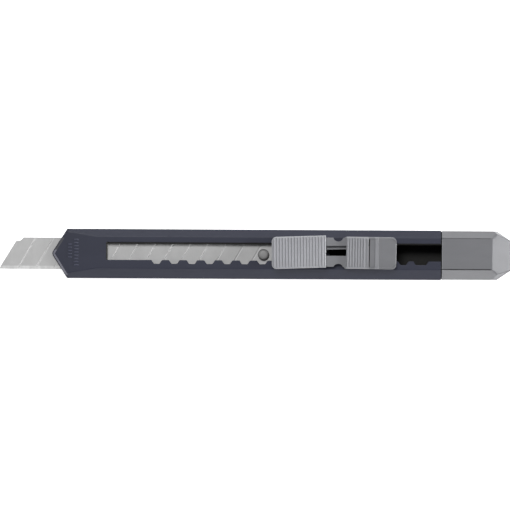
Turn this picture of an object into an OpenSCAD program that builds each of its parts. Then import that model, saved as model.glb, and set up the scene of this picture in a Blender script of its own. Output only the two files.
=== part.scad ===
// Snap-off utility knife with a 9 mm blade, a two-part locking slider and a pull-off tail cap.
// The origin is the middle of the handle's flat back face: +X runs to the tail cap, +Y is the
// blade's spine side and +Z is the face that carries the slider.

/* [Handle] */
// Overall length of the closed handle with its cap
handle_l = 130.4; // [129.5:0.1:131]
// Width of the handle across the blade
handle_w = 14.05; // [13.6:0.05:14.4]
// Thickness from the back face to the slider face
handle_t = 8; // [7.9:0.1:8.4]
// Length of the tail cap that shows behind the handle
cap_l = 19.55; // [19.4:0.05:19.7]

/* [Blade] */
// Width of the snap-off blade
blade_w = 9; // [8.8:0.05:9.1]
// Thickness of the blade
blade_t = 0.38; // [0.3:0.01:0.4]
// Length of the whole blade strip
blade_l = 80; // [78:0.5:80]
// Spacing of the score lines, the rack and the detents
pitch = 5; // [4.95:0.01:5.05]
// Length of blade that stands out of the nose
blade_out = 15.05; // [14.5:0.05:15.1]

/* [Slider] */
// Length of the front thumb pad
thumb_l = 15.4; // [15:0.1:15.5]
// Length of the rear lock pad
lock_l = 14.7; // [14.5:0.1:14.9]
// Width of both pads
pad_w = 9.12; // [9:0.02:9.3]
// Height of the thumb pad above the handle's face
thumb_h = 2.7; // [2.5:0.1:3]
// Height of the lock pad above the handle's face
lock_h = 2.2; // [2.1:0.1:2.4]

/* [Hidden] */
$fn = 48;
eps = 0.01;
big = 400;

handle_colour = [0.26, 0.26, 0.31];
grey_colour = [0.52, 0.52, 0.54];
steel_colour = [0.72, 0.72, 0.73];

// Stations along X, counted from the apex of the nose
nose_shoulder = 4.4;
nose_slope_l = 12.6;
channel_start = 14;
slot_start = 15.9;
shell_end = handle_l - cap_l;
tenon_end = shell_end + 13.2;

// Levels along Z
channel_floor = 1.9;
passage_floor = 5.45;
channel_roof = 6.2;
blade_z = 5.6;
pad_z = handle_t + 0.3;
nose_drop = 1.3;
nose_lift = 2.0;

// Half widths of the channel and of the feet that slide in it
channel_half_w = 4.75;
foot_half_w = 4.4;

// Corner chamfers of the section, as [across, down]
spine_chamfer = [2.12, 1.3];
edge_chamfer = [2.92, 1.7];
back_chamfer = [1.4, 1.2];

// Fit of the cap: tenon inset, clearance on it, step in from the handle, and the width and
// depth of the seam between them
tenon_inset = 0.95;
cap_clearance = 0.1;
cap_inset = 0.1;
cap_seam = 0.28;
seam_depth = 0.3;
cap_play = 0.2;

// Tail of the cap: outline corner, half width and slopes as [station, level] pairs
cap_corner_x = 126.5;
cap_end_half_w = 4.3;
cap_top_slope = [[125.1, handle_t], [handle_l, 5.19]];
cap_back_slope = [[126.8, 0], [handle_l, 1.78]];
snap_slot_x = 125.9;
snap_slot_z = [3.5, 4.3];

// Slot and rack
slot_y = [-1.75, 3.0];
notch_depth = 1.05;
notch_top = 3.0;
notch_bottom = 1.62;
last_notch_extra = 1.35;
notch_first = 29.86;
notch_count = 16;

// Blade
blade_tip_x = -blade_out;
tip_lean = 58.3;
tip_extra = 0.45;
score_lean = 60;
score_half_w = 0.55;
score_depth = 0.12;
grind_w = 1.0;
grind_half_t = 0.03;
tip_cut_y = 3.47;
rear_corner = 1;

// Stud that carries the blade
stud_x = 60.2;
stud_y = -0.1;
stud_r = 1.5;
stud_z = [3.4, 7.2];
stud_dome_r = 3;
stud_clearance = 0.1;

// Carrier under the blade
carrier_x = [57.6, 79];
carrier_z = [2.3, blade_z - 0.1];

// Posts that reach down through the slot, as ranges of station, width and lowest level
post_y = [slot_y[0] + 0.3, slot_y[1] - 0.3];
thumb_post_x = [66.5, 77.5];
thumb_post_foot_z = 4.0;
thumb_neck_x = [66.5, 76.9];
thumb_neck_y = [-0.05, 2.45];
lock_post_x = [92.1, 95.5];
lock_post_foot_z = 5;

// Both pads
pad_corner_r = 1.4;
pad_base = 1.0;
rib_depth = 0.3;
rib_over = 0.2;

// Thumb pad: station, middle, turn, ribs and the room it leaves for the lock pad's legs
thumb_x = 62.5;
thumb_y = 0.66;
thumb_yaw = 1.95;
thumb_ribs = 17;
thumb_rib_first = 1.0;
thumb_rib_pitch = 0.853;
hollow_x = 70;
hollow_top = pad_z + pad_base + 0.2;

// Click spring: root, arm and tooth, the widths of the arm as ranges of Y
spring_z = [6.7, 7.7];
spring_root_x = 75.2;
spring_root_y = [0.9, 2.3];
arm_end_x = 86;
arm_root_y = [1.42, 2.32];
arm_end_y = [1.67, 2.2];
tooth_x = 84.86;
tooth_top_y = 1.8;
tooth_shoulder_y = -1.4;
tooth_tip_y = -2.5;
tooth_half_w = 0.7;
tooth_tip_half_w = 0.45;

// Lock pad: station, middle, turn, ribs, flat, arm room, legs and the rib that blocks the arm
lock_x = 83.2;
lock_y = 0.54;
lock_yaw = -0.6;
lock_block_x = 83.65;
lock_ribs = 8;
lock_rib_first = 0.2;
lock_rib_pitch = 0.765;
lock_step_x = 90.3;
lock_flat_z = 1.1;
lock_rim = 0.5;
arm_room_x = 91.2;
arm_room_y = [-3, slot_y[1] - 0.6];
arm_room_top = pad_z + 0.2;
leg_tip_x = 75.5;
leg_low_y = [-3.4, -0.3];
leg_high_y = [2.7, 4.87];
close_travel = 5;
detent_x = 81.4;
detent_r = 1.5;
detent_depth = 1.1;
rib_block_x = [86.5, 91];
rib_block_y = [2.5, 2.9];

// Lock shoe
shoe_x = [91, 97];
shoe_z = [4.4, channel_roof - 0.2];

function at(station) = station - handle_l / 2;

// How much of a chamfer is left after its outline moves inwards by inset
function chamfer_left(c, inset) =
    1 - inset * (1 / c[0] + 1 / c[1] - sqrt(1 / pow(c[0], 2) + 1 / pow(c[1], 2)));

// Eight-sided section in (y, z), moved inwards by inset
function section_points(w, inset) =
    let (
        side = w / 2 - inset,
        low = inset,
        top = handle_t - inset,
        spine = spine_chamfer * chamfer_left(spine_chamfer, inset),
        edge = edge_chamfer * chamfer_left(edge_chamfer, inset),
        back = back_chamfer * chamfer_left(back_chamfer, inset)
    ) [
        [side - back[0], low], [side, low + back[1]],
        [side, top - spine[1]], [side - spine[0], top],
        [edge[0] - side, top], [-side, top - edge[1]],
        [-side, low + back[1]], [back[0] - side, low]
    ];

// Prism of the section between two stations
module section_bar(from, to, w, inset) {
    translate([at(from), 0, 0])
        rotate([90, 0, 90])
        linear_extrude(to - from)
        polygon(section_points(w, inset));
}

// Box between two stations, two widths and two levels
module block(x, y, z) {
    translate([at(x[0]), y[0], z[0]])
        cube([x[1] - x[0], y[1] - y[0], z[1] - z[0]]);
}

// Prism right across the knife, with its outline given as [station, level] points
module slope_cut(points) {
    translate([0, big / 2, 0])
        rotate([90, 0, 0])
        linear_extrude(big)
        polygon([for (p = points) [at(p[0]), p[1]]]);
}

module nose_outline() {
    linear_extrude(handle_t)
        polygon([
            [at(0), 0], [at(nose_shoulder), -handle_w / 2], [at(tenon_end), -handle_w / 2],
            [at(tenon_end), handle_w / 2], [at(nose_shoulder), handle_w / 2]
        ]);
}

module nose_slopes() {
    slope_cut([
        [-1, handle_t - nose_drop * (1 + 1 / nose_slope_l)],
        [nose_slope_l, handle_t], [nose_slope_l, handle_t + 1], [-1, handle_t + 1]
    ]);
    slope_cut([
        [-1, nose_lift * (1 + 1 / nose_slope_l)],
        [nose_slope_l, 0], [nose_slope_l, -1], [-1, -1]
    ]);
}

// One rack notch, widening towards the slot
module rack_notch(middle, extra) {
    translate([at(middle), slot_y[0], channel_roof - 1])
        linear_extrude(handle_t)
        polygon([
            [-(notch_top + extra) / 2, eps], [-(notch_bottom + extra) / 2, -notch_depth],
            [(notch_bottom + extra) / 2, -notch_depth], [(notch_top + extra) / 2, eps]
        ]);
}

module rack() {
    for (k = [0 : notch_count - 1])
        rack_notch(notch_first + k * pitch, k == notch_count - 1 ? last_notch_extra : 0);
}

module handle_shell() {
    color(handle_colour)
    difference() {
        intersection() {
            union() {
                section_bar(0, shell_end - cap_seam, handle_w, 0);
                section_bar(shell_end - cap_seam - eps, shell_end, handle_w, seam_depth);
                section_bar(shell_end - 1, tenon_end, handle_w, tenon_inset);
            }
            nose_outline();
        }
        nose_slopes();
        block([-1, channel_start + eps], [-channel_half_w, channel_half_w],
              [passage_floor, channel_roof]);
        block([channel_start, tenon_end + 1], [-channel_half_w, channel_half_w],
              [channel_floor, channel_roof]);
        block([slot_start, tenon_end + 1], slot_y, [channel_roof - 1, handle_t + 1]);
        rack();
    }
}

// Outline of the cap seen from the slider side, narrowing to the tail
module cap_outline(half_w) {
    linear_extrude(handle_t)
        polygon([
            [at(shell_end), -half_w], [at(cap_corner_x), -half_w],
            [at(handle_l), -cap_end_half_w], [at(handle_l), cap_end_half_w],
            [at(cap_corner_x), half_w], [at(shell_end), half_w]
        ]);
}

// Slopes of the tail: each runs from its first point to the end face and on past it
module cap_slopes() {
    for (side = [[cap_top_slope, handle_t + 1], [cap_back_slope, -1]]) {
        start = side[0][0];
        end = side[0][1];
        run_on = (end[1] - start[1]) / (end[0] - start[0]);
        slope_cut([start, end, [end[0] + 1, end[1] + run_on],
                   [end[0] + 1, side[1]], [start[0], side[1]]]);
    }
}

module tail_cap() {
    color(grey_colour)
    difference() {
        intersection() {
            section_bar(shell_end, handle_l, handle_w - 2 * cap_inset, 0);
            cap_outline(handle_w / 2 - cap_inset);
        }
        section_bar(shell_end - 1, tenon_end + cap_play, handle_w, tenon_inset - cap_clearance);
        cap_slopes();
        block([snap_slot_x, handle_l + 1], [-handle_w, handle_w], snap_slot_z);
    }
}

// Outline of the blade, from the snapped tip to the square rear end
module blade_outline() {
    low = -blade_w / 2;
    high = blade_w / 2;
    tail = blade_tip_x + blade_l;
    cut_x = blade_tip_x + (tip_cut_y - low) / tan(tip_lean);
    polygon([
        [at(blade_tip_x), low], [at(cut_x), tip_cut_y],
        [at(cut_x + 1.0), tip_cut_y + 0.05], [at(cut_x + 1.55), tip_cut_y + 0.4],
        [at(cut_x + 2.1), high],
        [at(tail - rear_corner), high], [at(tail), high - rear_corner],
        [at(tail), low + rear_corner], [at(tail - rear_corner), low]
    ]);
}

module score_lines() {
    segments = floor(blade_l / pitch) - 2;
    over = 1;
    for (k = [1 : segments])
        translate([at(blade_tip_x + tip_extra + k * pitch), -blade_w / 2,
                   blade_z + blade_t - score_depth])
        rotate([0, 0, score_lean])
        rotate([90, 0, 90])
        translate([0, 0, -over])
        linear_extrude(blade_w / sin(score_lean) + 2 * over)
        polygon([[0, 0], [score_half_w, score_depth * 2], [-score_half_w, score_depth * 2]]);
}

// Wedges that grind the cutting edge from both faces
module edge_grind() {
    low = -blade_w / 2;
    middle = blade_z + blade_t / 2;
    for (side = [-1, 1])
        translate([at(blade_tip_x - 1), 0, 0])
        rotate([90, 0, 90])
        linear_extrude(blade_l + 2)
        polygon([
            [low - eps, middle + side * grind_half_t],
            [low + grind_w, middle + side * (blade_t / 2 + eps)],
            [low + grind_w, middle + side * blade_t],
            [low - eps, middle + side * blade_t]
        ]);
}

module blade() {
    color(steel_colour)
    difference() {
        translate([0, 0, blade_z]) linear_extrude(blade_t) blade_outline();
        score_lines();
        edge_grind();
        translate([at(stud_x), stud_y, 0]) cylinder(r = stud_r + stud_clearance, h = handle_t);
    }
}

module blade_stud() {
    color(steel_colour)
    translate([at(stud_x), stud_y, 0])
    intersection() {
        translate([0, 0, stud_z[0]]) cylinder(r = stud_r, h = stud_z[1] - stud_z[0]);
        translate([0, 0, stud_z[1] - stud_dome_r]) sphere(r = stud_dome_r);
    }
}

// Foot that slides under the blade and carries it on the stud
module blade_carrier() {
    color(handle_colour)
    difference() {
        block(carrier_x, [-foot_half_w, foot_half_w], carrier_z);
        translate([at(stud_x), stud_y, stud_z[0]]) cylinder(r = stud_r, h = handle_t);
        block(thumb_post_x, post_y, [thumb_post_foot_z, handle_t]);
    }
}

// Pad outline with a rounded free end and a square end, its middle at the origin
module pad_plan(l, w, r, h) {
    linear_extrude(h)
    union() {
        for (side = [-1, 1])
            translate([r - l / 2, side * (w / 2 - r)]) circle(r = r);
        translate([-l / 2, r - w / 2]) square([l, w - 2 * r]);
        translate([r - l / 2, -w / 2]) square([l - r, w]);
    }
}

// Grip ribs left between sloping cuts across a pad's top; the cuts are given as shares of spacing
module rib_cuts(first, count, spacing, top) {
    cut = [0.08, 0.3, 0.62, 0.84];
    for (k = [0 : count - 1])
        translate([first + k * spacing, pad_w, top])
        rotate([90, 0, 0])
        linear_extrude(2 * pad_w)
        polygon([
            [cut[0] * spacing, rib_over], [cut[1] * spacing, -rib_depth],
            [cut[2] * spacing, -rib_depth], [cut[3] * spacing, rib_over]
        ]);
}

// Front pad with the post that reaches through the slot to the carrier
module thumb_pad() {
    middle = thumb_x + thumb_l / 2;
    height = handle_t + thumb_h - pad_z;
    color(grey_colour)
    difference() {
        union() {
            difference() {
                translate([at(middle), thumb_y, pad_z])
                    rotate([0, 0, thumb_yaw])
                    difference() {
                        pad_plan(thumb_l, pad_w, pad_corner_r, height);
                        rib_cuts(thumb_rib_first - thumb_l / 2, thumb_ribs, thumb_rib_pitch,
                                 height);
                    }
                block([hollow_x, thumb_x + thumb_l + 2], [-handle_w, handle_w], [0, hollow_top]);
            }
            block(thumb_post_x, post_y, [thumb_post_foot_z, handle_t - 0.1]);
            block(thumb_neck_x, thumb_neck_y, [handle_t - 0.2, hollow_top + eps]);
        }
        spring_root();
    }
}

// Root block of the click spring, let into the post's rear face
module spring_root() {
    block([spring_root_x, thumb_post_x[1] + eps], spring_root_y, spring_z);
}

// Tapered arm with a finger whose tip drops into a rack notch
module click_spring() {
    color(grey_colour)
    union() {
        spring_root();
        translate([0, 0, spring_z[0]])
            linear_extrude(spring_z[1] - spring_z[0])
            polygon([
                [at(thumb_post_x[1]), arm_root_y[0]], [at(thumb_post_x[1]), arm_root_y[1]],
                [at(arm_end_x), arm_end_y[1]], [at(arm_end_x), arm_end_y[0]]
            ]);
        translate([at(tooth_x), 0, spring_z[0]])
            linear_extrude(spring_z[1] - spring_z[0])
            polygon([
                [-tooth_half_w, tooth_top_y], [tooth_half_w, tooth_top_y],
                [tooth_half_w, tooth_shoulder_y], [tooth_tip_half_w, tooth_tip_y],
                [-tooth_tip_half_w, tooth_tip_y], [-tooth_half_w, tooth_shoulder_y]
            ]);
    }
}

// Leg of the lock pad, with half-round detents in its outer edge one closing travel apart
module lock_leg(y, outer_y, outwards) {
    difference() {
        block([leg_tip_x, lock_x + 2], y, [pad_z, pad_z + pad_base]);
        for (x = [detent_x, detent_x - close_travel])
            translate([at(x), outer_y + outwards * (detent_r - detent_depth), 0])
            cylinder(r = detent_r, h = big);
    }
}

// Rear pad: a base with two legs forward, a ribbed block on it and a smooth lower flat behind
module lock_pad() {
    middle = lock_x + lock_l / 2;
    height = handle_t + lock_h - pad_z;
    front = lock_block_x - middle;
    step = lock_step_x - middle;
    over = 2;
    color(grey_colour)
    union() {
        difference() {
            translate([at(middle), lock_y, pad_z])
                rotate([0, 0, lock_yaw])
                difference() {
                    rotate([0, 0, 180]) pad_plan(lock_l, pad_w, pad_corner_r, height);
                    rib_cuts(front + lock_rib_first, lock_ribs, lock_rib_pitch, height);
                    translate([step, lock_rim - pad_w / 2, lock_flat_z])
                        cube([lock_l, pad_w - 2 * lock_rim, over]);
                    translate([front - over, -pad_w, pad_base]) cube([over, 2 * pad_w, over]);
                }
            block([lock_x - 1, arm_room_x], arm_room_y, [0, arm_room_top]);
        }
        lock_leg(leg_high_y, leg_high_y[1], 1);
        lock_leg(leg_low_y, leg_low_y[0], -1);
        block(rib_block_x, rib_block_y, [spring_z[0], pad_z + pad_base / 2]);
        block(lock_post_x, post_y, [lock_post_foot_z, pad_z + eps]);
    }
}

// Foot that holds the lock pad down from inside the channel
module lock_shoe() {
    color(handle_colour)
    difference() {
        block(shoe_x, [-foot_half_w, foot_half_w], shoe_z);
        block(lock_post_x, post_y, [lock_post_foot_z, handle_t]);
    }
}

handle_shell();
tail_cap();
blade();
blade_stud();
blade_carrier();
thumb_pad();
click_spring();
lock_pad();
lock_shoe();
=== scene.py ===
import math

import bmesh
import bpy
from mathutils import Matrix, Vector

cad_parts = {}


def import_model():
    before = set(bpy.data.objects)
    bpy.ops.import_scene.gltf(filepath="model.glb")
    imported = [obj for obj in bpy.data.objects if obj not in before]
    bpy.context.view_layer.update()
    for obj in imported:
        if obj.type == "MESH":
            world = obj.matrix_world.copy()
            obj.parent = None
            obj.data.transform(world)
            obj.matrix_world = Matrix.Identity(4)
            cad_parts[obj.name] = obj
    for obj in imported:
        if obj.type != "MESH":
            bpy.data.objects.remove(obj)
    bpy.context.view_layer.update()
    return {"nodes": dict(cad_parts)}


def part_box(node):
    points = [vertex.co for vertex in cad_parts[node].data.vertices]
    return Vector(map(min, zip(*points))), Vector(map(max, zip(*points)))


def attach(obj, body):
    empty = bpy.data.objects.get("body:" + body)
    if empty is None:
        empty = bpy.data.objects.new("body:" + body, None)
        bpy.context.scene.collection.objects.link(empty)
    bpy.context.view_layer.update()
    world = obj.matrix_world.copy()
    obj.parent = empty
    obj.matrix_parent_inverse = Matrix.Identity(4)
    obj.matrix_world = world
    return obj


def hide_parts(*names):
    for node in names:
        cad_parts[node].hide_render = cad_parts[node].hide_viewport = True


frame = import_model()

# Sizes, places and levels are in millimetres unless a comment says otherwise, and MM turns them
# into metres. A place along the knife is a station, counted from the apex of the nose to the tail.
MM = 0.001
NODES = frame["nodes"]
NOSE_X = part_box("handle_shell")[0].x / MM
# Level of the handle's flat face, and of the pads' undersides just clear of it
FACE_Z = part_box("tail_cap")[1].z / MM
PAD_Z = FACE_Z + 0.3
# A vertex counts as being at a place when it is nearer to it than this
NEAR = 0.05


def at(station):
    """X in the frame of a station counted from the apex of the nose."""
    return NOSE_X + station


# ---------------------------------------------------------------- materials


class Shader:
    """A node material built up around its Principled BSDF."""

    def __init__(self, name):
        self.material = bpy.data.materials.new(name)
        self.material.use_nodes = True
        self.tree = self.material.node_tree
        self.bsdf = self.tree.nodes["Principled BSDF"]

    def node(self, kind, **inputs):
        """A new node with its inputs set, whose names have _ in place of each space."""
        made = self.tree.nodes.new(kind)
        for name, value in inputs.items():
            made.inputs[name.replace("_", " ")].default_value = value
        return made

    def link(self, source, target):
        self.tree.links.new(source, target)

    def set(self, name, value):
        self.bsdf.inputs[name].default_value = value

    def place(self, stretch=(1.0, 1.0, 1.0), turn=0.0):
        """Object coordinates, turned about Z and stretched."""
        coords = self.tree.nodes.new("ShaderNodeTexCoord")
        mapping = self.node("ShaderNodeMapping", Scale=stretch, Rotation=(0.0, 0.0, turn))
        self.link(coords.outputs["Object"], mapping.inputs["Vector"])
        return mapping.outputs["Vector"]

    def noise(self, place, scale, detail=3.0, roughness=0.5):
        made = self.node("ShaderNodeTexNoise", Scale=scale, Detail=detail, Roughness=roughness)
        self.link(place, made.inputs["Vector"])
        return made.outputs["Fac"]

    def ramp(self, factor, stops):
        """Colour ramp from (position, colour) stops."""
        made = self.tree.nodes.new("ShaderNodeValToRGB")
        elements = made.color_ramp.elements
        elements[0].position, elements[0].color = stops[0]
        elements[1].position, elements[1].color = stops[-1]
        for position, colour in stops[1:-1]:
            elements.new(position).color = colour
        self.link(factor, made.inputs["Fac"])
        return made.outputs["Color"]

    def spread(self, factor, low, high):
        """Stretches a factor from 0 to 1 over the range from low to high."""
        made = self.node("ShaderNodeMapRange", To_Min=low, To_Max=high)
        self.link(factor, made.inputs["Value"])
        return made.outputs["Result"]

    def bump(self, height, strength, distance):
        made = self.node("ShaderNodeBump", Strength=strength, Distance=distance)
        self.link(height, made.inputs["Height"])
        return made.outputs["Normal"]


def grey(value, tint=(1.0, 1.0, 1.0)):
    return (value * tint[0], value * tint[1], value * tint[2], 1.0)


def moulded_plastic(name, base, tint, grain, roughness, gloss=0.35):
    """Spark-eroded matt plastic: fine grain, faint flow marks and slight handling wear.

    Its colour is the grey of value base with a tint, and grain is the strength of the fine bumps.
    """
    shader = Shader(name)
    flow = shader.noise(shader.place(stretch=(0.3, 1.0, 1.0)), scale=260.0, detail=4.0)
    colour = shader.ramp(flow, [
        (0.3, grey(base * 0.95, tint)), (0.55, grey(base, tint)), (0.8, grey(base * 1.06, tint)),
    ])
    shader.link(colour, shader.bsdf.inputs["Base Color"])
    wear = shader.noise(shader.place(), scale=900.0)
    shader.link(shader.spread(wear, roughness - 0.06, roughness + 0.06), shader.bsdf.inputs["Roughness"])
    fine = shader.noise(shader.place(), scale=5200.0, detail=2.0, roughness=0.6)
    shader.link(shader.bump(fine, grain, 0.02 * MM), shader.bsdf.inputs["Normal"])
    shader.set("Specular IOR Level", gloss)
    return shader.material


def ground_steel(name, base, roughness, stretch, turn=0.0, metallic=1.0):
    """Steel with fine grinding lines along one direction and a faint film of oil."""
    shader = Shader(name)
    lines = shader.noise(shader.place(stretch, turn), scale=2600.0, detail=4.0)
    film = shader.noise(shader.place(), scale=420.0)
    colour = shader.ramp(film, [(0.3, grey(base * 0.96)), (0.7, grey(base * 1.03))])
    shader.link(colour, shader.bsdf.inputs["Base Color"])
    shader.link(shader.spread(lines, roughness - 0.07, roughness + 0.07), shader.bsdf.inputs["Roughness"])
    shader.link(shader.bump(lines, 0.12, 0.01 * MM), shader.bsdf.inputs["Normal"])
    shader.set("Metallic", metallic)
    return shader.material


def honed_steel(name, base, roughness):
    """The ground cutting edge: coarse grinding marks across it leave light and dark patches, and its
    steel is set lighter than the blade's as painted light for the down-facing bevel.
    """
    shader = Shader(name)
    patches = shader.noise(shader.place(stretch=(1.0, 0.15, 1.0)), scale=900.0, detail=2.0)
    colour = shader.ramp(patches, [(0.35, grey(base * 0.9)), (0.65, grey(base * 1.06))])
    shader.link(colour, shader.bsdf.inputs["Base Color"])
    marks = shader.noise(shader.place(stretch=(1.0, 0.05, 1.0)), scale=5200.0, detail=3.0)
    shader.link(shader.bump(marks, 0.25, 0.01 * MM), shader.bsdf.inputs["Normal"])
    shader.set("Metallic", 0.6)
    shader.set("Roughness", roughness)
    return shader.material


# Handle: its walls and the feet inside, the pips in a lighter anthracite, a painted highlight along the
# nose's top edge and a fainter one on its upper part, and painted near-black shade on walls in shadow
HANDLE_TINT = (0.85, 0.93, 1.5)
HANDLE = moulded_plastic("anthracite_plastic", 0.032, HANDLE_TINT, grain=0.35, roughness=0.5, gloss=0.29)
MARKS = moulded_plastic("lighter_anthracite_plastic", 0.055, HANDLE_TINT, grain=0.35, roughness=0.45)
NOSE_HIGHLIGHT = moulded_plastic("nose_highlight_anthracite", 0.19, (0.95, 0.96, 1.15), grain=0.3, roughness=0.4)
FAINT_NOSE_HIGHLIGHT = moulded_plastic("faint_nose_highlight_anthracite", 0.075, (0.95, 0.96, 1.1), grain=0.3, roughness=0.4)
PAINTED_SHADE = moulded_plastic("shadowed_channel_plastic", 0.014, (1.0, 1.0, 0.95), grain=0.2, roughness=0.8)

# Slider and cap: the pads' walls and flats, the base and legs (lighter grey as painted light), the rear
# pad's ridge (painted highlight), the cap, its faint and darker lines (painted shade), the rear ribs and
# the click arm (lighter grey as painted light), the thumb pad's ribs and the cap's rim (painted
# highlight)
GREY_TINT = (0.97, 0.985, 1.05)
GREY = moulded_plastic("grey_plastic", 0.172, GREY_TINT, grain=0.22, roughness=0.42)
LIGHTENED_LEGS = moulded_plastic("lightened_slider_base_plastic", 0.197, GREY_TINT, grain=0.22, roughness=0.42)
RIDGE_HIGHLIGHT = moulded_plastic("ridge_highlight_grey_plastic", 0.235, GREY_TINT, grain=0.2, roughness=0.4)
SATIN = moulded_plastic("satin_grey_plastic", 0.169, GREY_TINT, grain=0.2, roughness=0.32, gloss=0.46)
FAINT_LINE_SHADE = moulded_plastic("faint_line_shade_grey", 0.12, GREY_TINT, grain=0.2, roughness=0.5)
DARK_LINE_SHADE = moulded_plastic("shaded_grey_line", 0.09, GREY_TINT, grain=0.2, roughness=0.6)
LIGHTENED_GREY = moulded_plastic("lightened_grey_plastic", 0.268, GREY_TINT, grain=0.2, roughness=0.4)
HIGHLIGHT_GREY = moulded_plastic("highlight_grey_plastic", 0.33, GREY_TINT, grain=0.2, roughness=0.38)

# Blade and pin: the blade's faces, its score lines (lighter, less metallic steel as a painted highlight),
# its cutting edge, and the pin
SCORE_LEAN = math.radians(60.0)
BLADE = ground_steel("ground_steel", 0.49, roughness=0.42, stretch=(1.0, 0.06, 1.0), metallic=0.6)
SCORE_HIGHLIGHT = ground_steel("score_line_highlight_steel", 0.58, roughness=0.6, stretch=(0.2, 1.0, 1.0),
                      turn=SCORE_LEAN, metallic=0.4)
HONED = honed_steel("honed_edge_steel", 0.7, roughness=0.7)
STUD = ground_steel("turned_steel", 0.25, roughness=0.55, stretch=(1.0, 1.0, 0.1), metallic=0.1)


# ---------------------------------------------------------------- mesh helpers


def new_piece(name, built):
    """An object made from a bmesh, which is freed."""
    mesh = bpy.data.meshes.new(name)
    bmesh.ops.recalc_face_normals(built, faces=built.faces)
    built.to_mesh(mesh)
    built.free()
    piece = bpy.data.objects.new(name, mesh)
    bpy.context.scene.collection.objects.link(piece)
    return piece


def cad_polygons(node):
    """A CAD node's mesh with its flat faces merged back into polygons."""
    merge, flat = 0.001, math.radians(0.6)
    built = bmesh.new()
    built.from_mesh(NODES[node].data)
    bmesh.ops.remove_doubles(built, verts=built.verts, dist=merge * MM)
    bmesh.ops.dissolve_limit(built, angle_limit=flat, verts=built.verts, edges=built.edges)
    return built


def split_at(built, axis, place, last=math.inf):
    """Cuts an edge loop where a plane square to axis meets the faces that start before a last X."""
    faces = [face for face in built.faces if min(v.co.x for v in face.verts) / MM < last]
    edges = {edge for face in faces for edge in face.edges}
    verts = {v for face in faces for v in face.verts}
    where, square = Vector((0.0, 0.0, 0.0)), Vector((0.0, 0.0, 0.0))
    where[axis], square[axis] = place * MM, 1.0
    geometry = list(verts) + list(edges) + faces
    bmesh.ops.bisect_plane(built, geom=geometry, plane_co=where, plane_no=square)


def smooth_normals(piece):
    """Smooth shading that leaves flat faces flat."""
    for polygon in piece.data.polygons:
        polygon.use_smooth = True
    normals = piece.modifiers.new("face_normals", "WEIGHTED_NORMAL")
    normals.keep_sharp = True
    normals.weight = 100


def mark_sharp(piece, angle=38.0):
    """Keeps a piece's hard corners hard and shades the rest smooth."""
    built = bmesh.new()
    built.from_mesh(piece.data)
    for edge in built.edges:
        edge.smooth = edge.calc_face_angle(0.0) < math.radians(angle)
    built.to_mesh(piece.data)
    built.free()
    smooth_normals(piece)


def round_edges(piece, width, angle=24.0):
    """Rounds every edge sharper than angle by the same width."""
    edge = piece.modifiers.new("edge_round", "BEVEL")
    edge.width = width * MM
    edge.segments = 3
    edge.limit_method = "ANGLE"
    edge.angle_limit = math.radians(angle)
    smooth_normals(piece)


def weigh_edges(built, rule, widest, angle):
    """Weighs each edge sharper than angle by the rounding that rule says for it."""
    layer = built.edges.layers.float.new("bevel_weight_edge")
    for edge in built.edges:
        if edge.calc_face_angle(0.0) > math.radians(angle):
            edge[layer] = rule(edge) / widest


def round_by_weight(piece, widest, segments):
    edge = piece.modifiers.new("edge_round", "BEVEL")
    edge.width = widest * MM
    edge.segments = segments
    edge.limit_method = "WEIGHT"
    edge.use_clamp_overlap = False
    smooth_normals(piece)


def bake_modifiers(piece):
    """Turns the modified shape into the piece's own mesh, so that its faces can be painted."""
    bpy.context.view_layer.update()
    shown = piece.evaluated_get(bpy.context.evaluated_depsgraph_get())
    mesh = bpy.data.meshes.new_from_object(shown)
    piece.modifiers.clear()
    piece.data = mesh


def finish_piece(piece, material, body, slot, *replaced):
    """Gives a piece its material and tells the frame what it rides on and replaces; slot, what it is made
    of, is not used.
    """
    piece.data.materials.append(material)
    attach(piece, body)
    if replaced:
        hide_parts(*replaced)


def paint(piece, material, rule):
    """Gives another material to the faces that rule picks by their middle and normal."""
    piece.data.materials.append(material)
    index = len(piece.data.materials) - 1
    for polygon in piece.data.polygons:
        if rule(polygon.center / MM, polygon.normal):
            polygon.material_index = index


def slab(name, outline, low, high):
    """A flat piece: an outline of (x, y) points between two levels."""
    built = bmesh.new()
    base = built.faces.new([built.verts.new((x * MM, y * MM, low * MM)) for x, y in outline])
    grown = bmesh.ops.extrude_face_region(built, geom=[base])
    lifted = [v for v in grown["geom"] if isinstance(v, bmesh.types.BMVert)]
    bmesh.ops.translate(built, verts=lifted, vec=(0.0, 0.0, (high - low) * MM))
    return new_piece(name, built)


def loft(name, sections, middle, side_lean, rib_lean):
    """Closed mesh through sections, each of them (x, [(y, z), ...]) about middle.

    The long sides lean by one angle and the sections themselves by another, both in degrees.
    """
    lean = Matrix.Identity(4)
    lean[1][0] = math.tan(math.radians(side_lean))
    lean[0][1] = -math.tan(math.radians(rib_lean))
    place = Matrix.Translation(Vector(middle)) @ lean
    built = bmesh.new()
    rings = [
        [built.verts.new((place @ Vector((x, y, z))) * MM) for y, z in ring]
        for x, ring in sections
    ]
    count = len(rings[0])
    for first, second in zip(rings, rings[1:]):
        for k in range(count):
            after = (k + 1) % count
            built.faces.new((first[k], first[after], second[after], second[k]))
    built.faces.new(rings[0])
    built.faces.new(list(reversed(rings[-1])))
    return new_piece(name, built)


# ---------------------------------------------------------------- handle


HANDLE_HALF_W = (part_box("handle_shell")[1].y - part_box("handle_shell")[0].y) / 2 / MM
# Nose: length of its slanted front edges, length and drop of its sloping top, levels of its walls
NOSE_SHOULDER = 4.4
NOSE_SLOPE_L, NOSE_DROP = 12.6, 1.3
NOSE_WALL_Z = (3.0, 6.4)
# The nose's top edge carries a painted highlight from the first of these y to the last, fainter past the
# second
NOSE_BAND_Y = (-6.0, 1.0, 4.4)
NOSE_BAND_Z = 5.8
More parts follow.
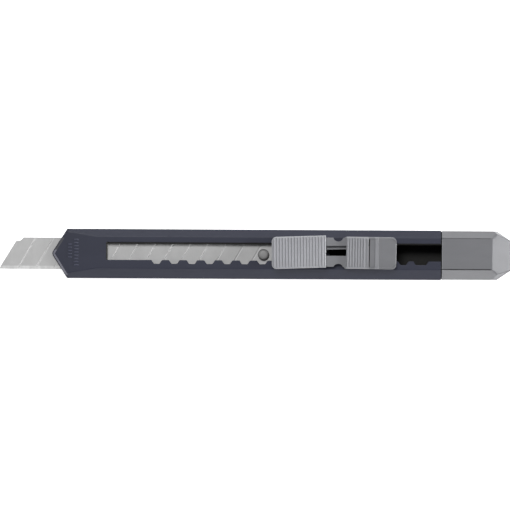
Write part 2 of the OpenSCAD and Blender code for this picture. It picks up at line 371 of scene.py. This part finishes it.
# Slot: its front end, its two sides, and the strip of the face that it runs through
SLOT_START = 15.9
SLOT_Y = (-1.75, 3.0)
SLOT_STRIP_START, SLOT_STRIP_HALF_W = 10.0, 3.5
# How far the slot's front and spine-side walls lean out at the top, and how far the latter leans
# in at its foot, which lies between these levels
FRONT_LEAN, SPINE_LEAN, SPINE_FOOT = 0.3, 0.28, 0.22
SPINE_FOOT_Z = (5.8, 6.8)
# Channel under the slot, and the depth of the wall round the slot above it
CHANNEL_START, CHANNEL_HALF_W, CHANNEL_Z = 13.9, 4.8, (1.8, 6.25)
SLOT_WALL_H = 1.9
# Seam with the cap: its middle, and how far its walls reach from there
CAP_FRONT = 110.85
SEAM_REACH = 0.4
# Roundings of the nose's outline, the slot, the seam and all other edges
NOSE_ROUND, SLOT_ROUND, SEAM_ROUND, SHELL_ROUND = 0.75, 0.2, 0.04, 0.16
# Rows of pips on the nose: (station, y of the row's middle, pips, length and width of a pip)
PIP_ROWS = ((5.2, 0.8, 5, 1.1, 0.42), (7.0, 0.35, 9, 1.3, 0.46))
PIP_PITCH, PIP_HEIGHT, PIP_ROUND = 0.9, 0.26, 0.1


def on_chevron(ends):
    """Whether an edge follows the top or the bottom of the nose's arrow-shaped outline."""
    lean = NOSE_SHOULDER / HANDLE_HALF_W
    upright = abs(ends[0].z - ends[1].z) > 2.0
    on_wall = NOSE_WALL_Z[0] < (ends[0].z + ends[1].z) / 2 < NOSE_WALL_Z[1]
    return not upright and not on_wall and all(
        abs(end.x - at(lean * abs(end.y))) < NEAR for end in ends
    )


def in_slot_strip(point):
    return abs(point.y) < SLOT_STRIP_HALF_W and point.x > at(SLOT_STRIP_START)


def shell_rounding(edge):
    """Widest on the nose's outline, finest at the seam, and wider round the slot than elsewhere."""
    ends = [v.co / MM for v in edge.verts]
    if on_chevron(ends):
        return NOSE_ROUND
    if all(end.x > at(CAP_FRONT) - SEAM_REACH for end in ends):
        return SEAM_ROUND
    return SLOT_ROUND if all(in_slot_strip(end) for end in ends) else SHELL_ROUND


def lean_slot_walls(built):
    """Leans the slot's front and spine-side walls out at the top, and the latter in at its foot."""
    for v in built.verts:
        x, y, z = v.co / MM
        on_front = abs(x - at(SLOT_START)) < NEAR and abs(y) < SLOT_Y[1] + NEAR
        on_spine = abs(y - SLOT_Y[1]) < NEAR
        at_top = z > FACE_Z - NEAR
        if on_front and at_top:
            v.co.x -= FRONT_LEAN * MM
        if on_spine and at_top:
            v.co.y += SPINE_LEAN * MM
        if on_spine and SPINE_FOOT_Z[0] < z < SPINE_FOOT_Z[1]:
            v.co.y -= SPINE_FOOT * MM


def in_shadow(middle, normal):
    """Whether a face of the shell lines the channel, a leaning wall of the slot or the seam, where it is
    painted near-black as shade.
    """
    in_channel = (abs(middle.y) < CHANNEL_HALF_W and CHANNEL_Z[0] < middle.z < CHANNEL_Z[1]
                  and middle.x > at(CHANNEL_START))
    wall = abs(normal.z) < 0.9 and FACE_Z - SLOT_WALL_H < middle.z < FACE_Z
    leaning = abs(middle.x - at(SLOT_START)) < FRONT_LEAN + 0.1 or middle.y > SLOT_Y[1] - 0.1
    on_slot_wall = wall and leaning and in_slot_strip(middle)
    in_seam = abs(middle.x - at(CAP_FRONT)) < SEAM_REACH and abs(normal.x) < 0.3
    return in_channel or on_slot_wall or in_seam


def on_nose_band(middle, normal):
    """Whether a face belongs to the stretch of the rounding of the nose's top edge that carries a painted
    highlight.
    """
    on_edge = middle.x < at(NOSE_SHOULDER) and middle.z > NOSE_BAND_Z
    in_stretch = NOSE_BAND_Y[0] < middle.y < NOSE_BAND_Y[2]
    return on_edge and in_stretch and normal.x < -0.15 and 0.7 < normal.z < 0.985


# Faces of that stretch past the second y, where the painted highlight is fainter
def on_faint_band(middle, normal):
    return on_nose_band(middle, normal) and middle.y > NOSE_BAND_Y[1]


def handle_moulding():
    """The shell, with a painted highlight along the nose's top edge and painted shade on its walls in
    shadow.
    """
    built = cad_polygons("handle_shell")
    for y in NOSE_BAND_Y:
        split_at(built, 1, y, at(NOSE_SHOULDER + 0.2))
    lean_slot_walls(built)
    weigh_edges(built, shell_rounding, NOSE_ROUND, angle=20.0)
    piece = new_piece("handle_moulding", built)
    round_by_weight(piece, NOSE_ROUND, segments=4)
    finish_piece(piece, HANDLE, "handle", "handle_plastic", "handle_shell")
    bake_modifiers(piece)
    # Painted near-black shade in the channel, on the slot's leaning walls and in the seam
    paint(piece, PAINTED_SHADE, in_shadow)
    # Painted highlight on the rounding of the nose's top edge, fainter on its upper part
    paint(piece, NOSE_HIGHLIGHT, on_nose_band)
    paint(piece, FAINT_NOSE_HIGHLIGHT, on_faint_band)


def nose_pips():
    """Two rows of plain raised pips on the sloping nose, moulded with the shell."""
    slope = math.atan2(NOSE_DROP, NOSE_SLOPE_L)
    built = bmesh.new()
    for station, row_y, count, length, width in PIP_ROWS:
        level = FACE_Z - NOSE_DROP + math.tan(slope) * station
        for k in range(count):
            y = row_y + (k - (count - 1) / 2) * PIP_PITCH
            place = Matrix.Translation(Vector((at(station), y, level)) * MM)
            place = place @ Matrix.Rotation(-slope, 4, "Y")
            place = place @ Matrix.Diagonal((length * MM, width * MM, PIP_HEIGHT * MM, 1.0))
            bmesh.ops.create_cube(built, size=1.0, matrix=place)
    piece = new_piece("nose_pips", built)
    round_edges(piece, PIP_ROUND)
    finish_piece(piece, MARKS, "handle", "handle_plastic")


# ---------------------------------------------------------------- tail cap


CAP_HALF_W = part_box("tail_cap")[1].y / MM
# Stations where the cap's face starts to slope and its corners to slant, and its flat end
CAP_SLOPE, CAP_CORNER, CAP_END = 125.1, 126.5, 130.4
CAP_END_HALF_W = 4.3
# Levels: the slope's slanted borders lie above the first, the corner facets' lower edges below
# the second
CAP_BORDER_Z, CAP_FACET_Z = 6.7, 5.6
# Roundings of the slope's slanted borders, of the corner facets' lower edges and of the rest
CAP_BORDER_ROUND, CAP_FACET_ROUND, CAP_ROUND = 0.3, 0.045, 0.15
# Steep facets round the slanted corners: (side, rise for each millimetre inwards, foot level)
CAP_TURNS = ((-1.0, 1.82, 4.95), (1.0, 3.6, 4.8))
# Fine lines along both borders of the cap's face: (y, half width, depth), and where they end; their faces
# are painted dark as shade
CAP_LINES = ((2.92 - CAP_HALF_W, 0.17, 0.3), (CAP_HALF_W - 2.12, 0.12, 0.12))
CAP_LINES_END = CAP_SLOPE - 0.5


def turn_corner(built, side, rise, foot):
    """Cuts the facet that carries the cap's side border round its slanted corner."""
    run = Vector((CAP_END - CAP_CORNER, CAP_END_HALF_W - CAP_HALF_W))
    outwards = Vector((-run.y, side * run.x)).normalized() * rise
    cut = bmesh.ops.bisect_plane(
        built, geom=list(built.verts) + list(built.edges) + list(built.faces),
        plane_co=Vector((at(CAP_CORNER), side * CAP_HALF_W, foot)) * MM,
        plane_no=Vector((outwards.x, outwards.y, 1.0)).normalized(), clear_outer=True)
    rim = [part for part in cut["geom_cut"] if isinstance(part, bmesh.types.BMEdge)]
    bmesh.ops.edgeloop_fill(built, edges=rim)


def press_line(built, y, half, depth):
    """Presses a V-shaped line into the border that runs along the cap's face at y."""
    split_at(built, 1, y - half)
    split_at(built, 1, y + half)
    for v in built.verts:
        on_border = abs(v.co.y / MM - y) < NEAR and v.co.z / MM > FACE_Z - NEAR
        if on_border and v.co.x / MM < at(CAP_LINES_END) + NEAR:
            v.co.z -= depth * MM


def by_line(ends):
    """Whether an edge lies in or beside one of the fine lines."""
    return any(
        all(abs(end.y - y) < half + NEAR and end.z > FACE_Z - 0.5 for end in ends)
        for y, half, _ in CAP_LINES
    )


def cap_rounding(edge):
    """Wider rounding where the slope meets the side borders, finer elsewhere, none by a line."""
    ends = [v.co / MM for v in edge.verts]
    slanted = abs(ends[0].y - ends[1].y) > 0.3 and abs(ends[0].x - ends[1].x) > 0.3
    if slanted and all(end.x > at(CAP_SLOPE) - NEAR and end.z > CAP_BORDER_Z for end in ends):
        return CAP_BORDER_ROUND
    if all(end.x > at(CAP_CORNER) - NEAR and end.z < CAP_FACET_Z for end in ends):
        return CAP_FACET_ROUND
    return 0.0 if by_line(ends) else CAP_ROUND


def on_slope_border(middle, normal):
    """Whether a face rounds a slanted border of the cap's slope; these faces are painted dark as shade.
    """
    past_corner = middle.x > at(CAP_CORNER) + 0.4
    return past_corner and normal.x > 0.42 and 0.08 < abs(normal.y) < 0.66 and normal.z > 0.5


def on_front_rim(middle, normal):
    """Whether a face rounds the cap's front rim, at the seam; these faces are painted light as a
    highlight.
    """
    return middle.x < at(CAP_FRONT) + 0.3 and -0.97 < normal.x < -0.2


def in_line(y, half):
    """The rule that picks the faces of the fine line at y, which are painted dark as shade."""
    return lambda middle, normal: (
        abs(middle.y - y) < half and middle.z > FACE_Z - 0.4 and middle.x < at(CAP_LINES_END))


def tail_cap_moulding():
    """The cap, with faceted corners, two fine lines and slanted slope borders painted dark as shade, and
    a front rim painted light as a highlight.
    """
    built = cad_polygons("tail_cap")
    for turn in CAP_TURNS:
        turn_corner(built, *turn)
    split_at(built, 0, at(CAP_LINES_END))
    for line in CAP_LINES:
        press_line(built, *line)
    weigh_edges(built, cap_rounding, CAP_BORDER_ROUND, angle=14.0)
    for edge in built.edges:
        edge.smooth = cap_rounding(edge) > 0.0
    piece = new_piece("tail_cap_moulding", built)
    round_by_weight(piece, CAP_BORDER_ROUND, segments=3)
    finish_piece(piece, SATIN, "tail_cap", "cap_plastic", "tail_cap")
    bake_modifiers(piece)
    for v in piece.data.vertices:
        v.co.x = min(v.co.x, at(CAP_END) * MM)
    # Painted shade on the slope's slanted borders and in the two fine lines
    paint(piece, DARK_LINE_SHADE, on_slope_border)
    # Painted highlight on the cap's front rim
    paint(piece, HIGHLIGHT_GREY, on_front_rim)
    for (y, half, _), material in zip(CAP_LINES, (DARK_LINE_SHADE, FAINT_LINE_SHADE)):
        paint(piece, material, in_line(y, half))


# ---------------------------------------------------------------- blade and its pin


BLADE_EDGE_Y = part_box("blade")[0].y / MM
GRIND_WIDTH = 1.1
# Half section of the pin as (radius, level): low dome, shank and a small chamfer at the foot
PIN_PROFILE = (
    (0.0, 7.17), (0.35, 7.17), (0.7, 7.15), (1.0, 7.09), (1.25, 6.97), (1.43, 6.75),
    (1.5, 6.5), (1.5, 3.5), (1.4, 3.4), (0.0, 3.4),
)
PIN_STEPS = 48


def leaning(normal):
    return 0.6 < abs(normal.z) < 0.995


def on_score_line(middle, normal):
    return leaning(normal) and abs(normal.x) > 0.1


def on_cutting_edge(middle, normal):
    return leaning(normal) and abs(normal.x) < 0.05 and middle.y < BLADE_EDGE_Y + GRIND_WIDTH


def snap_off_blade():
    """The scored strip, its score lines and its ground edge finished apart from its faces."""
    piece = new_piece("snap_off_blade", cad_polygons("blade"))
    finish_piece(piece, BLADE, "blade_slide", "blade_steel", "blade")
    # The score lines' flanks get a lighter, less metallic steel as a painted highlight
    paint(piece, SCORE_HIGHLIGHT, on_score_line)
    paint(piece, HONED, on_cutting_edge)


def blade_pin():
    """Turned pin with a low domed head."""
    low, high = (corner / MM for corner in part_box("blade_stud"))
    x, y = (low.x + high.x) / 2, (low.y + high.y) / 2
    built = bmesh.new()
    points = [built.verts.new(Vector((x + r, y, z)) * MM) for r, z in PIN_PROFILE]
    path = [built.edges.new(pair) for pair in zip(points, points[1:])]
    bmesh.ops.spin(built, geom=points + path, cent=Vector((x, y, 0.0)) * MM, axis=(0, 0, 1),
                   angle=2 * math.pi, steps=PIN_STEPS, use_duplicate=False)
    bmesh.ops.remove_doubles(built, verts=built.verts, dist=0.0005 * MM)
    piece = new_piece("blade_pin", built)
    mark_sharp(piece)
    finish_piece(piece, STUD, "blade_slide", "stud_steel", "blade_stud")


# ---------------------------------------------------------------- feet inside and click arm


FOOT_ROUND = 0.12
# The click arm is raised above this level and past this y, and widened past the second y
ARM_FACE_Z, ARM_FACE_Y, ARM_RISE = 7.6, 0.85, 0.5
ARM_SPINE_Y, ARM_SPREAD = 2.05, 0.2
ARM_ROUND = 0.06


def foot(node, name, body):
    """A foot that slides in the channel: its CAD node with rounded edges."""
    piece = new_piece(name, cad_polygons(node))
    round_edges(piece, FOOT_ROUND)
    finish_piece(piece, HANDLE, body, "handle_plastic", node)


def click_arm():
    """Sprung arm that clicks along the rack; it stands a little higher and wider than its node."""
    built = cad_polygons("click_spring")
    for v in built.verts:
        if v.co.z / MM > ARM_FACE_Z and v.co.y / MM > ARM_FACE_Y:
            v.co.z += ARM_RISE * MM
        if v.co.y / MM > ARM_SPINE_Y:
            v.co.y += ARM_SPREAD * MM
    piece = new_piece("click_arm", built)
    round_edges(piece, ARM_ROUND)
    # The arm lies in the slot's shade; a lighter grey stands in for light on it
    finish_piece(piece, LIGHTENED_GREY, "blade_slide", "slider_plastic", "click_spring")


# ---------------------------------------------------------------- shapes that both pads share


PAD_WIDTH = 9.12
# Radius of the pads' corners seen from above, and of their top edges
PAD_CORNER, PAD_FILLET = 1.4, 0.3
CORNER_STEPS, FILLET_STEPS, RIB_STEPS = 6, 4, 8
# Share of a rib's pitch over which it rises
RIB_RISE = 0.25
# Sides of the posts that run down through the slot
POST_Y = (-1.45, 2.7)
# How far one piece of a pad sinks into another or keeps inside its walls
INSET = 0.05


def arc_back(distance, radius):
    """How far a rounded end stands back at a distance in from the end."""
    if distance >= radius:
        return 0.0
    return radius - math.sqrt(max(radius * radius - (radius - distance) ** 2, 0.0))


def arc_marks(radius):
    """Distances in from an end that follow a quarter arc."""
    turns = [math.pi / 2 * k / CORNER_STEPS for k in range(CORNER_STEPS + 1)]
    return [radius * (1.0 - math.cos(turn)) for turn in turns]


def rib_marks(first, pitch, count):
    """Distances over a run of ribs, from groove to groove."""
    return [first + pitch * k / RIB_STEPS for k in range(count * RIB_STEPS + 1)]


def in_run(distance, first, pitch, count):
    return first <= distance <= first + pitch * count


def rib_drop(distance, first, pitch, depth):
    """How far a saw-tooth rib lies below its crest: a short rise and a long, bulging fall."""
    phase = (distance - first) / pitch % 1.0
    share = phase / RIB_RISE if phase < RIB_RISE else (1.0 - phase) / (1.0 - RIB_RISE)
    return depth * (1.0 - share * (1.5 - 0.5 * share))


def grip_ring(half_w, bottom, rim, crest, rim_w, step):
    """Ring of a pad: walls, rounded shoulders, a rim along each side and the field between."""
    fillet = min(PAD_FILLET, rim - bottom - INSET)
    side = [(half_w, bottom)]
    for k in range(FILLET_STEPS + 1):
        turn = math.pi / 2 * k / FILLET_STEPS
        back, down = fillet * (1.0 - math.cos(turn)), fillet * (1.0 - math.sin(turn))
        side.append((half_w - back, rim - down))
    inner = half_w - rim_w
    side += [(inner, rim), (inner - step, crest), (inner * 0.5, crest)]
    return side + [(-y, z) for y, z in reversed(side)]


def block(name, stations, y_range, low, high, rounding, body):
    """A plain block of grey plastic with rounded edges, under one of the pads."""
    (front, back), (low_y, high_y) = stations, y_range
    corners = [(front, low_y), (back, low_y), (back, high_y), (front, high_y)]
    piece = slab(name, [(at(station), y) for station, y in corners], low, high)
    round_edges(piece, rounding)
    finish_piece(piece, GREY, body, "slider_plastic")


# ---------------------------------------------------------------- thumb pad


# Station of the pad's front, y of its middle, and its length
THUMB_X, THUMB_Y, THUMB_LENGTH = 62.5, 0.66, 15.4
THUMB_TOP = (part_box("thumb_pad")[1] / MM).z
# Lean of the pad's sides and of its ribs, in degrees
THUMB_LEAN = (1.95, 0.5)
# Length of the solid front part, and height of the room for the legs under the roof behind it
THUMB_SOLID, THUMB_ROOM_H = 7.6, 1.2
# Ribs: (distance of the first from the pad's front, pitch, count)
THUMB_RIBS = (0.47, 0.853, 17)
THUMB_RIB_DEPTH, THUMB_RIM_DROP = 0.23, 0.1


def thumb_ring(distance):
    """Ring of the thumb pad at a distance from its front."""
    half_w = PAD_WIDTH / 2 - arc_back(distance, PAD_CORNER)
    ends = arc_back(distance, PAD_FILLET) + arc_back(THUMB_LENGTH - distance, PAD_FILLET)
    top = THUMB_TOP - ends
    rim = THUMB_TOP - THUMB_RIM_DROP - ends
    crest = top - THUMB_RIM_DROP
    if in_run(distance, *THUMB_RIBS):
        crest = top - rib_drop(distance, *THUMB_RIBS[:2], THUMB_RIB_DEPTH)
    bottom = PAD_Z if distance <= THUMB_SOLID else PAD_Z + THUMB_ROOM_H
    return grip_ring(half_w, bottom, rim, crest, rim_w=0.4, step=0.1)


def thumb_grip():
    """Front pad: solid in front, a roof over the lock's legs behind, ribbed right across."""
    marks = arc_marks(PAD_CORNER) + rib_marks(*THUMB_RIBS) + [THUMB_SOLID, THUMB_SOLID + 0.01]
    marks += [THUMB_LENGTH - mark for mark in arc_marks(PAD_FILLET)]
    sections = [(mark - THUMB_LENGTH / 2, thumb_ring(mark)) for mark in sorted(set(marks))]
    middle = (at(THUMB_X) + THUMB_LENGTH / 2, THUMB_Y, 0.0)
    piece = loft("thumb_grip", sections, middle, *THUMB_LEAN)
    mark_sharp(piece)
    finish_piece(piece, GREY, "blade_slide", "slider_plastic", "thumb_pad")
    # The thumb pad's rib crests are painted lighter as a highlight
    highlight_z = THUMB_TOP - PAD_FILLET - THUMB_RIB_DEPTH
    paint(piece, HIGHLIGHT_GREY, lambda middle, normal: middle.z > highlight_z)


def thumb_post():
    """Post from the thumb grip down through the slot into the carrier."""
    block("thumb_post", stations=(66.5, 77.5), y_range=POST_Y, low=4.0, high=FACE_Z - 0.1,
          rounding=0.1, body="blade_slide")


def thumb_neck():
    """Narrower neck that joins the post to the grip between the lock's legs."""
    block("thumb_neck", stations=(66.5, 76.9), y_range=(-0.05, 2.45), low=FACE_Z - 0.3,
          high=PAD_Z + THUMB_ROOM_H + 0.1, rounding=0.08, body="blade_slide")


# ---------------------------------------------------------------- lock pad


# Station of the pad's front, y of its middle, its length, its top and its leans as on the thumb pad
LOCK_X, LOCK_Y, LOCK_LENGTH = 83.2, 0.54, 14.7
LOCK_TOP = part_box("lock_pad")[1].z / MM
LOCK_LEAN = (-0.6, -0.6)
# From the pad's front: the ribbed block's front, its ribs, the flat land behind them, the groove
# and the ridge on the step, with the run of the groove's and the ridge's front and back walls
LOCK_BLOCK = 0.45
LOCK_RIBS = (0.58, 0.775, 7)
LOCK_LAND = 6.3
LOCK_GROOVE, GROOVE_WALLS = (6.9, 7.12), (0.12, 0.1)
LOCK_RIDGE, RIDGE_WALLS = (8.7, 9.5), (0.1, 0.15)
# Drops below the top: the grooves between the ribs, the land, the groove, the step, the ridge on
# it, the flat at the back, and the rims beside them all and beside the flat
LOCK_RIB_DEPTH, LAND_DROP, GROOVE_DROP = 0.26, 0.05, 0.8
STEP_DROP, RIDGE_DROP, FLAT_DROP = 0.34, 0.25, 0.48
LOCK_RIM_DROP, FLAT_RIM_DROP = 0.14, 0.38
LOCK_RIM_W = 0.5
LOCK_BLOCK_ROUND = 0.15
# Base plate under the pad: thickness, station of its legs' tips, their sides on the edge side and
# the spine side, and how far in from the pad's sides the two legs start to flare out to it
BASE_T = 1.0
LEG_TIP = 75.5
LEG_Y = ((-3.4, -0.3), (2.52, 4.87))
LEG_FLARE = (0.45, 0.4)
# Half-round detents in the legs' outer edges: stations, radius, and depth in either leg
DETENT_X, DETENT_R, DETENT_DEPTHS = (76.4, 81.4), 1.5, (0.85, 1.1)
DETENT_STEPS = 12
# Back end of the room between the legs, in which the click arm lies
ARM_ROOM_END = 91.2


def lock_field_drop(distance):
    """How far the middle of the rear pad lies below its top at a distance from its front."""
    if in_run(distance, *LOCK_RIBS):
        return rib_drop(distance, *LOCK_RIBS[:2], LOCK_RIB_DEPTH)
    if distance < LOCK_RIBS[0]:
        return LOCK_RIM_DROP
    if distance < LOCK_GROOVE[0]:
        return LAND_DROP
    if distance < LOCK_GROOVE[1]:
        return GROOVE_DROP
    if distance < LOCK_RIDGE[0]:
        return STEP_DROP
    return RIDGE_DROP if distance <= LOCK_RIDGE[1] else FLAT_DROP


def lock_ring(distance):
    """Ring of the rear pad at a distance from its front."""
    half_w = PAD_WIDTH / 2 - arc_back(LOCK_LENGTH - distance, PAD_CORNER)
    ends = (arc_back(LOCK_LENGTH - distance, PAD_FILLET)
            + arc_back(distance - LOCK_BLOCK, LOCK_BLOCK_ROUND))
    rim_drop = LOCK_RIM_DROP if distance <= LOCK_RIDGE[1] else FLAT_RIM_DROP
    rim, crest = LOCK_TOP - rim_drop - ends, LOCK_TOP - lock_field_drop(distance) - ends
    return grip_ring(half_w, PAD_Z + BASE_T - INSET, rim, crest, LOCK_RIM_W, step=0.12)


def lock_marks():
    """Distances of the rear pad's rings: its round ends, its ribs and each change of level."""
    marks = [LOCK_BLOCK + mark for mark in arc_marks(LOCK_BLOCK_ROUND)] + rib_marks(*LOCK_RIBS)
    marks += [LOCK_LAND, LOCK_GROOVE[0] - GROOVE_WALLS[0], LOCK_GROOVE[0]]
    marks += [LOCK_GROOVE[1] - GROOVE_WALLS[1], LOCK_GROOVE[1]]
    marks += [LOCK_RIDGE[0] - RIDGE_WALLS[0], LOCK_RIDGE[0]]
    marks += [LOCK_RIDGE[1], LOCK_RIDGE[1] + RIDGE_WALLS[1]]
    for radius in (PAD_CORNER, PAD_FILLET):
        marks += [LOCK_LENGTH - mark for mark in arc_marks(radius)]
    return sorted(set(marks))


def on_lock_ribs(middle, normal):
    """Whether a face belongs to the top of the rear pad's ribbed block, which gets a lighter grey as
    painted light.
    """
    in_front = middle.x < at(LOCK_X + LOCK_GROOVE[0]) - NEAR
    return in_front and middle.z > LOCK_TOP - PAD_FILLET - LOCK_RIB_DEPTH


# Faces of the rear pad's ridge, which is painted lighter as a highlight
def on_lock_ridge(middle, normal):
    front, back = (at(LOCK_X + distance) for distance in LOCK_RIDGE)
    return front - RIDGE_WALLS[0] < middle.x < back and normal.z > 0.5


# Faces down in the rear pad's groove, which are painted near-black as shade
def in_lock_groove(middle, normal):
    front, back = (at(LOCK_X + distance) for distance in LOCK_GROOVE)
    within = abs(middle.y - LOCK_Y) < PAD_WIDTH / 2 - LOCK_RIM_W
    return within and front - NEAR < middle.x < back + NEAR and middle.z < LOCK_TOP - STEP_DROP - 0.02


def lock_grip():
    """Rear pad: a ribbed block, a groove, a low step with a ridge and a smooth flat behind."""
    sections = [(mark - LOCK_LENGTH / 2, lock_ring(mark)) for mark in lock_marks()]
    middle = (at(LOCK_X) + LOCK_LENGTH / 2, LOCK_Y, 0.0)
    piece = loft("lock_grip", sections, middle, *LOCK_LEAN)
    mark_sharp(piece)
    finish_piece(piece, GREY, "lock_slide", "slider_plastic", "lock_pad")
    # Lighter grey as painted light on the ribbed block
    paint(piece, LIGHTENED_GREY, on_lock_ribs)
    # Painted highlight on the ridge
    paint(piece, RIDGE_HIGHLIGHT, on_lock_ridge)
    # The groove is painted near-black as shade
    paint(piece, PAINTED_SHADE, in_lock_groove)


def detent_arc(station, y, outwards, depth):
    """Points of a half-round detent in a leg's outer edge, cut short where the leg ends."""
    tip = at(LEG_TIP)
    rise = DETENT_R - depth
    sweep = math.atan2(math.sqrt(DETENT_R ** 2 - rise ** 2), rise)
    arc = []
    for k in range(DETENT_STEPS + 1):
        turn = sweep * (2.0 * k / DETENT_STEPS - 1.0)
        x = at(station) + DETENT_R * math.sin(turn)
        if x > tip - 0.2:
            arc.append((max(x, tip), y + outwards * (rise - DETENT_R * math.cos(turn))))
    return arc


def lock_base_outline():
    """Outline of the base plate: one leg's detents, round the pad, the other's, and the room between.

    Its corners are cut straight, just inside the pad's round ones.
    """
    (edge_out, edge_in), (spine_in, spine_out) = LEG_Y
    low_y, high_y = LOCK_Y - PAD_WIDTH / 2, LOCK_Y + PAD_WIDTH / 2
    flare, front = at(LOCK_X) - 0.15, at(LOCK_X) + 0.1
    back = at(LOCK_X + LOCK_LENGTH) - 0.25
    corner = back - PAD_CORNER + INSET
    tip, room_end = at(LEG_TIP), at(ARM_ROOM_END)
    outline = []
    for station in DETENT_X:
        outline += detent_arc(station, edge_out, -1.0, DETENT_DEPTHS[0])
    outline += [(flare, low_y + LEG_FLARE[0]), (front, low_y + INSET)]
    outline += [(corner, low_y), (back, low_y + PAD_CORNER)]
    outline += [(back, high_y - PAD_CORNER), (corner, high_y)]
    outline += [(front, high_y - INSET), (flare, high_y - LEG_FLARE[1])]
    for station in reversed(DETENT_X):
        outline += reversed(detent_arc(station, spine_out, 1.0, DETENT_DEPTHS[1]))
    outline += [(tip, spine_in), (room_end, spine_in), (room_end, edge_in), (tip, edge_in)]
    return outline


def lock_base():
    """Base plate of the rear pad with its two legs, which run forward under the thumb grip."""
    piece = slab("lock_base", lock_base_outline(), PAD_Z, PAD_Z + BASE_T)
    round_edges(piece, 0.07)
    # The base and legs get a lighter copy of the slider grey as painted light, against the shade the pads
    # cast
    finish_piece(piece, LIGHTENED_LEGS, "lock_slide", "slider_plastic")


def lock_stop_rib():
    """Rib under the base that backs the click arm's tip when the slider is locked."""
    block("lock_stop_rib", stations=(86.5, 91.0), y_range=(2.5, 2.9), low=FACE_Z - 1.3,
          high=PAD_Z + 0.5, rounding=0.06, body="lock_slide")


def lock_post():
    """Post from the base down through the slot into the lock's foot."""
    block("lock_post", stations=(92.1, 95.5), y_range=POST_Y, low=5.0, high=PAD_Z + INSET,
          rounding=0.1, body="lock_slide")


# ---------------------------------------------------------------- pieces in order


handle_moulding()
nose_pips()
tail_cap_moulding()
snap_off_blade()
blade_pin()
foot("blade_carrier", "carrier_foot", "blade_slide")
click_arm()
foot("lock_shoe", "lock_foot", "lock_slide")
thumb_grip()
thumb_post()
thumb_neck()
lock_grip()
lock_base()
lock_stop_rib()
lock_post()


# ---------------------------------------------------------------- studio


WHITE = (1.0, 1.0, 1.0, 1.0)
# Floor: size in metres, and how far below the knife it lies
FLOOR_SIZE, FLOOR_DROP = 6.0, 0.2
# Soft boxes turned to the knife: name, place in metres and power in watts
SOFT_BOX_SIZE = (0.5, 0.4)
SOFT_BOXES = (
    ("key", (-0.2, 0.6, 1.13), 11.0),
    ("tail_side", (1.26, 0.0, 0.34), 17.5),
    ("edge_side", (0.1, -1.22, 0.45), 5.5),
    ("spine_side", (0.0, 1.22, 0.45), 3.0),
    ("nose_side", (-1.2, -0.4, 0.24), 2.5),
)
WORLD_STRENGTH = 0.1
# Camera: distance above the face and width of the view there in metres, the place in the frame
# that it looks at, and its turn about the line of sight in degrees
CAMERA_DISTANCE, VIEW_WIDTH = 2.0, 0.14475
VIEW_MIDDLE = (-7.43, -0.18)
VIEW_TURN = 0.31


def floor():
    bpy.ops.mesh.primitive_plane_add(size=FLOOR_SIZE, location=(0.0, 0.0, -FLOOR_DROP * MM))
    plane = bpy.context.object
    plane.name = "studio_floor"
    shader = Shader("pale_floor")
    mottle = shader.noise(shader.place(), scale=3.0)
    colour = shader.ramp(mottle, [(0.2, grey(0.95)), (0.8, grey(0.97))])
    shader.link(colour, shader.bsdf.inputs["Base Color"])
    shader.set("Roughness", 0.9)
    shader.set("Specular IOR Level", 0.1)
    shader.set("Emission Color", WHITE)
    shader.set("Emission Strength", 0.8)
    plane.data.materials.append(shader.material)


def soft_box(name, place, power):
    light = bpy.data.lights.new(name, "AREA")
    light.shape = "RECTANGLE"
    light.size, light.size_y = SOFT_BOX_SIZE
    light.energy = power
    lamp = bpy.data.objects.new(name, light)
    bpy.context.scene.collection.objects.link(lamp)
    lamp.location = place
    lamp.rotation_euler = (-Vector(place)).to_track_quat("-Z", "Y").to_euler()


def world():
    sky = bpy.data.worlds.new("studio")
    sky.use_nodes = True
    background = sky.node_tree.nodes["Background"]
    background.inputs["Color"].default_value = WHITE
    background.inputs["Strength"].default_value = WORLD_STRENGTH
    bpy.context.scene.world = sky


def camera():
    """Looks straight down on the slider face through a long lens."""
    data = bpy.data.cameras.new("camera")
    data.sensor_width = 36.0
    data.lens = data.sensor_width * CAMERA_DISTANCE / VIEW_WIDTH
    data.clip_end = 20.0
    eye = bpy.data.objects.new("camera", data)
    bpy.context.scene.collection.objects.link(eye)
    eye.location = (VIEW_MIDDLE[0] * MM, VIEW_MIDDLE[1] * MM, FACE_Z * MM + CAMERA_DISTANCE)
    eye.rotation_euler = (0.0, 0.0, math.radians(VIEW_TURN))
    bpy.context.scene.camera = eye


floor()
world()
for box in SOFT_BOXES:
    soft_box(*box)
camera()
bpy.context.scene.view_settings.view_transform = "Standard"
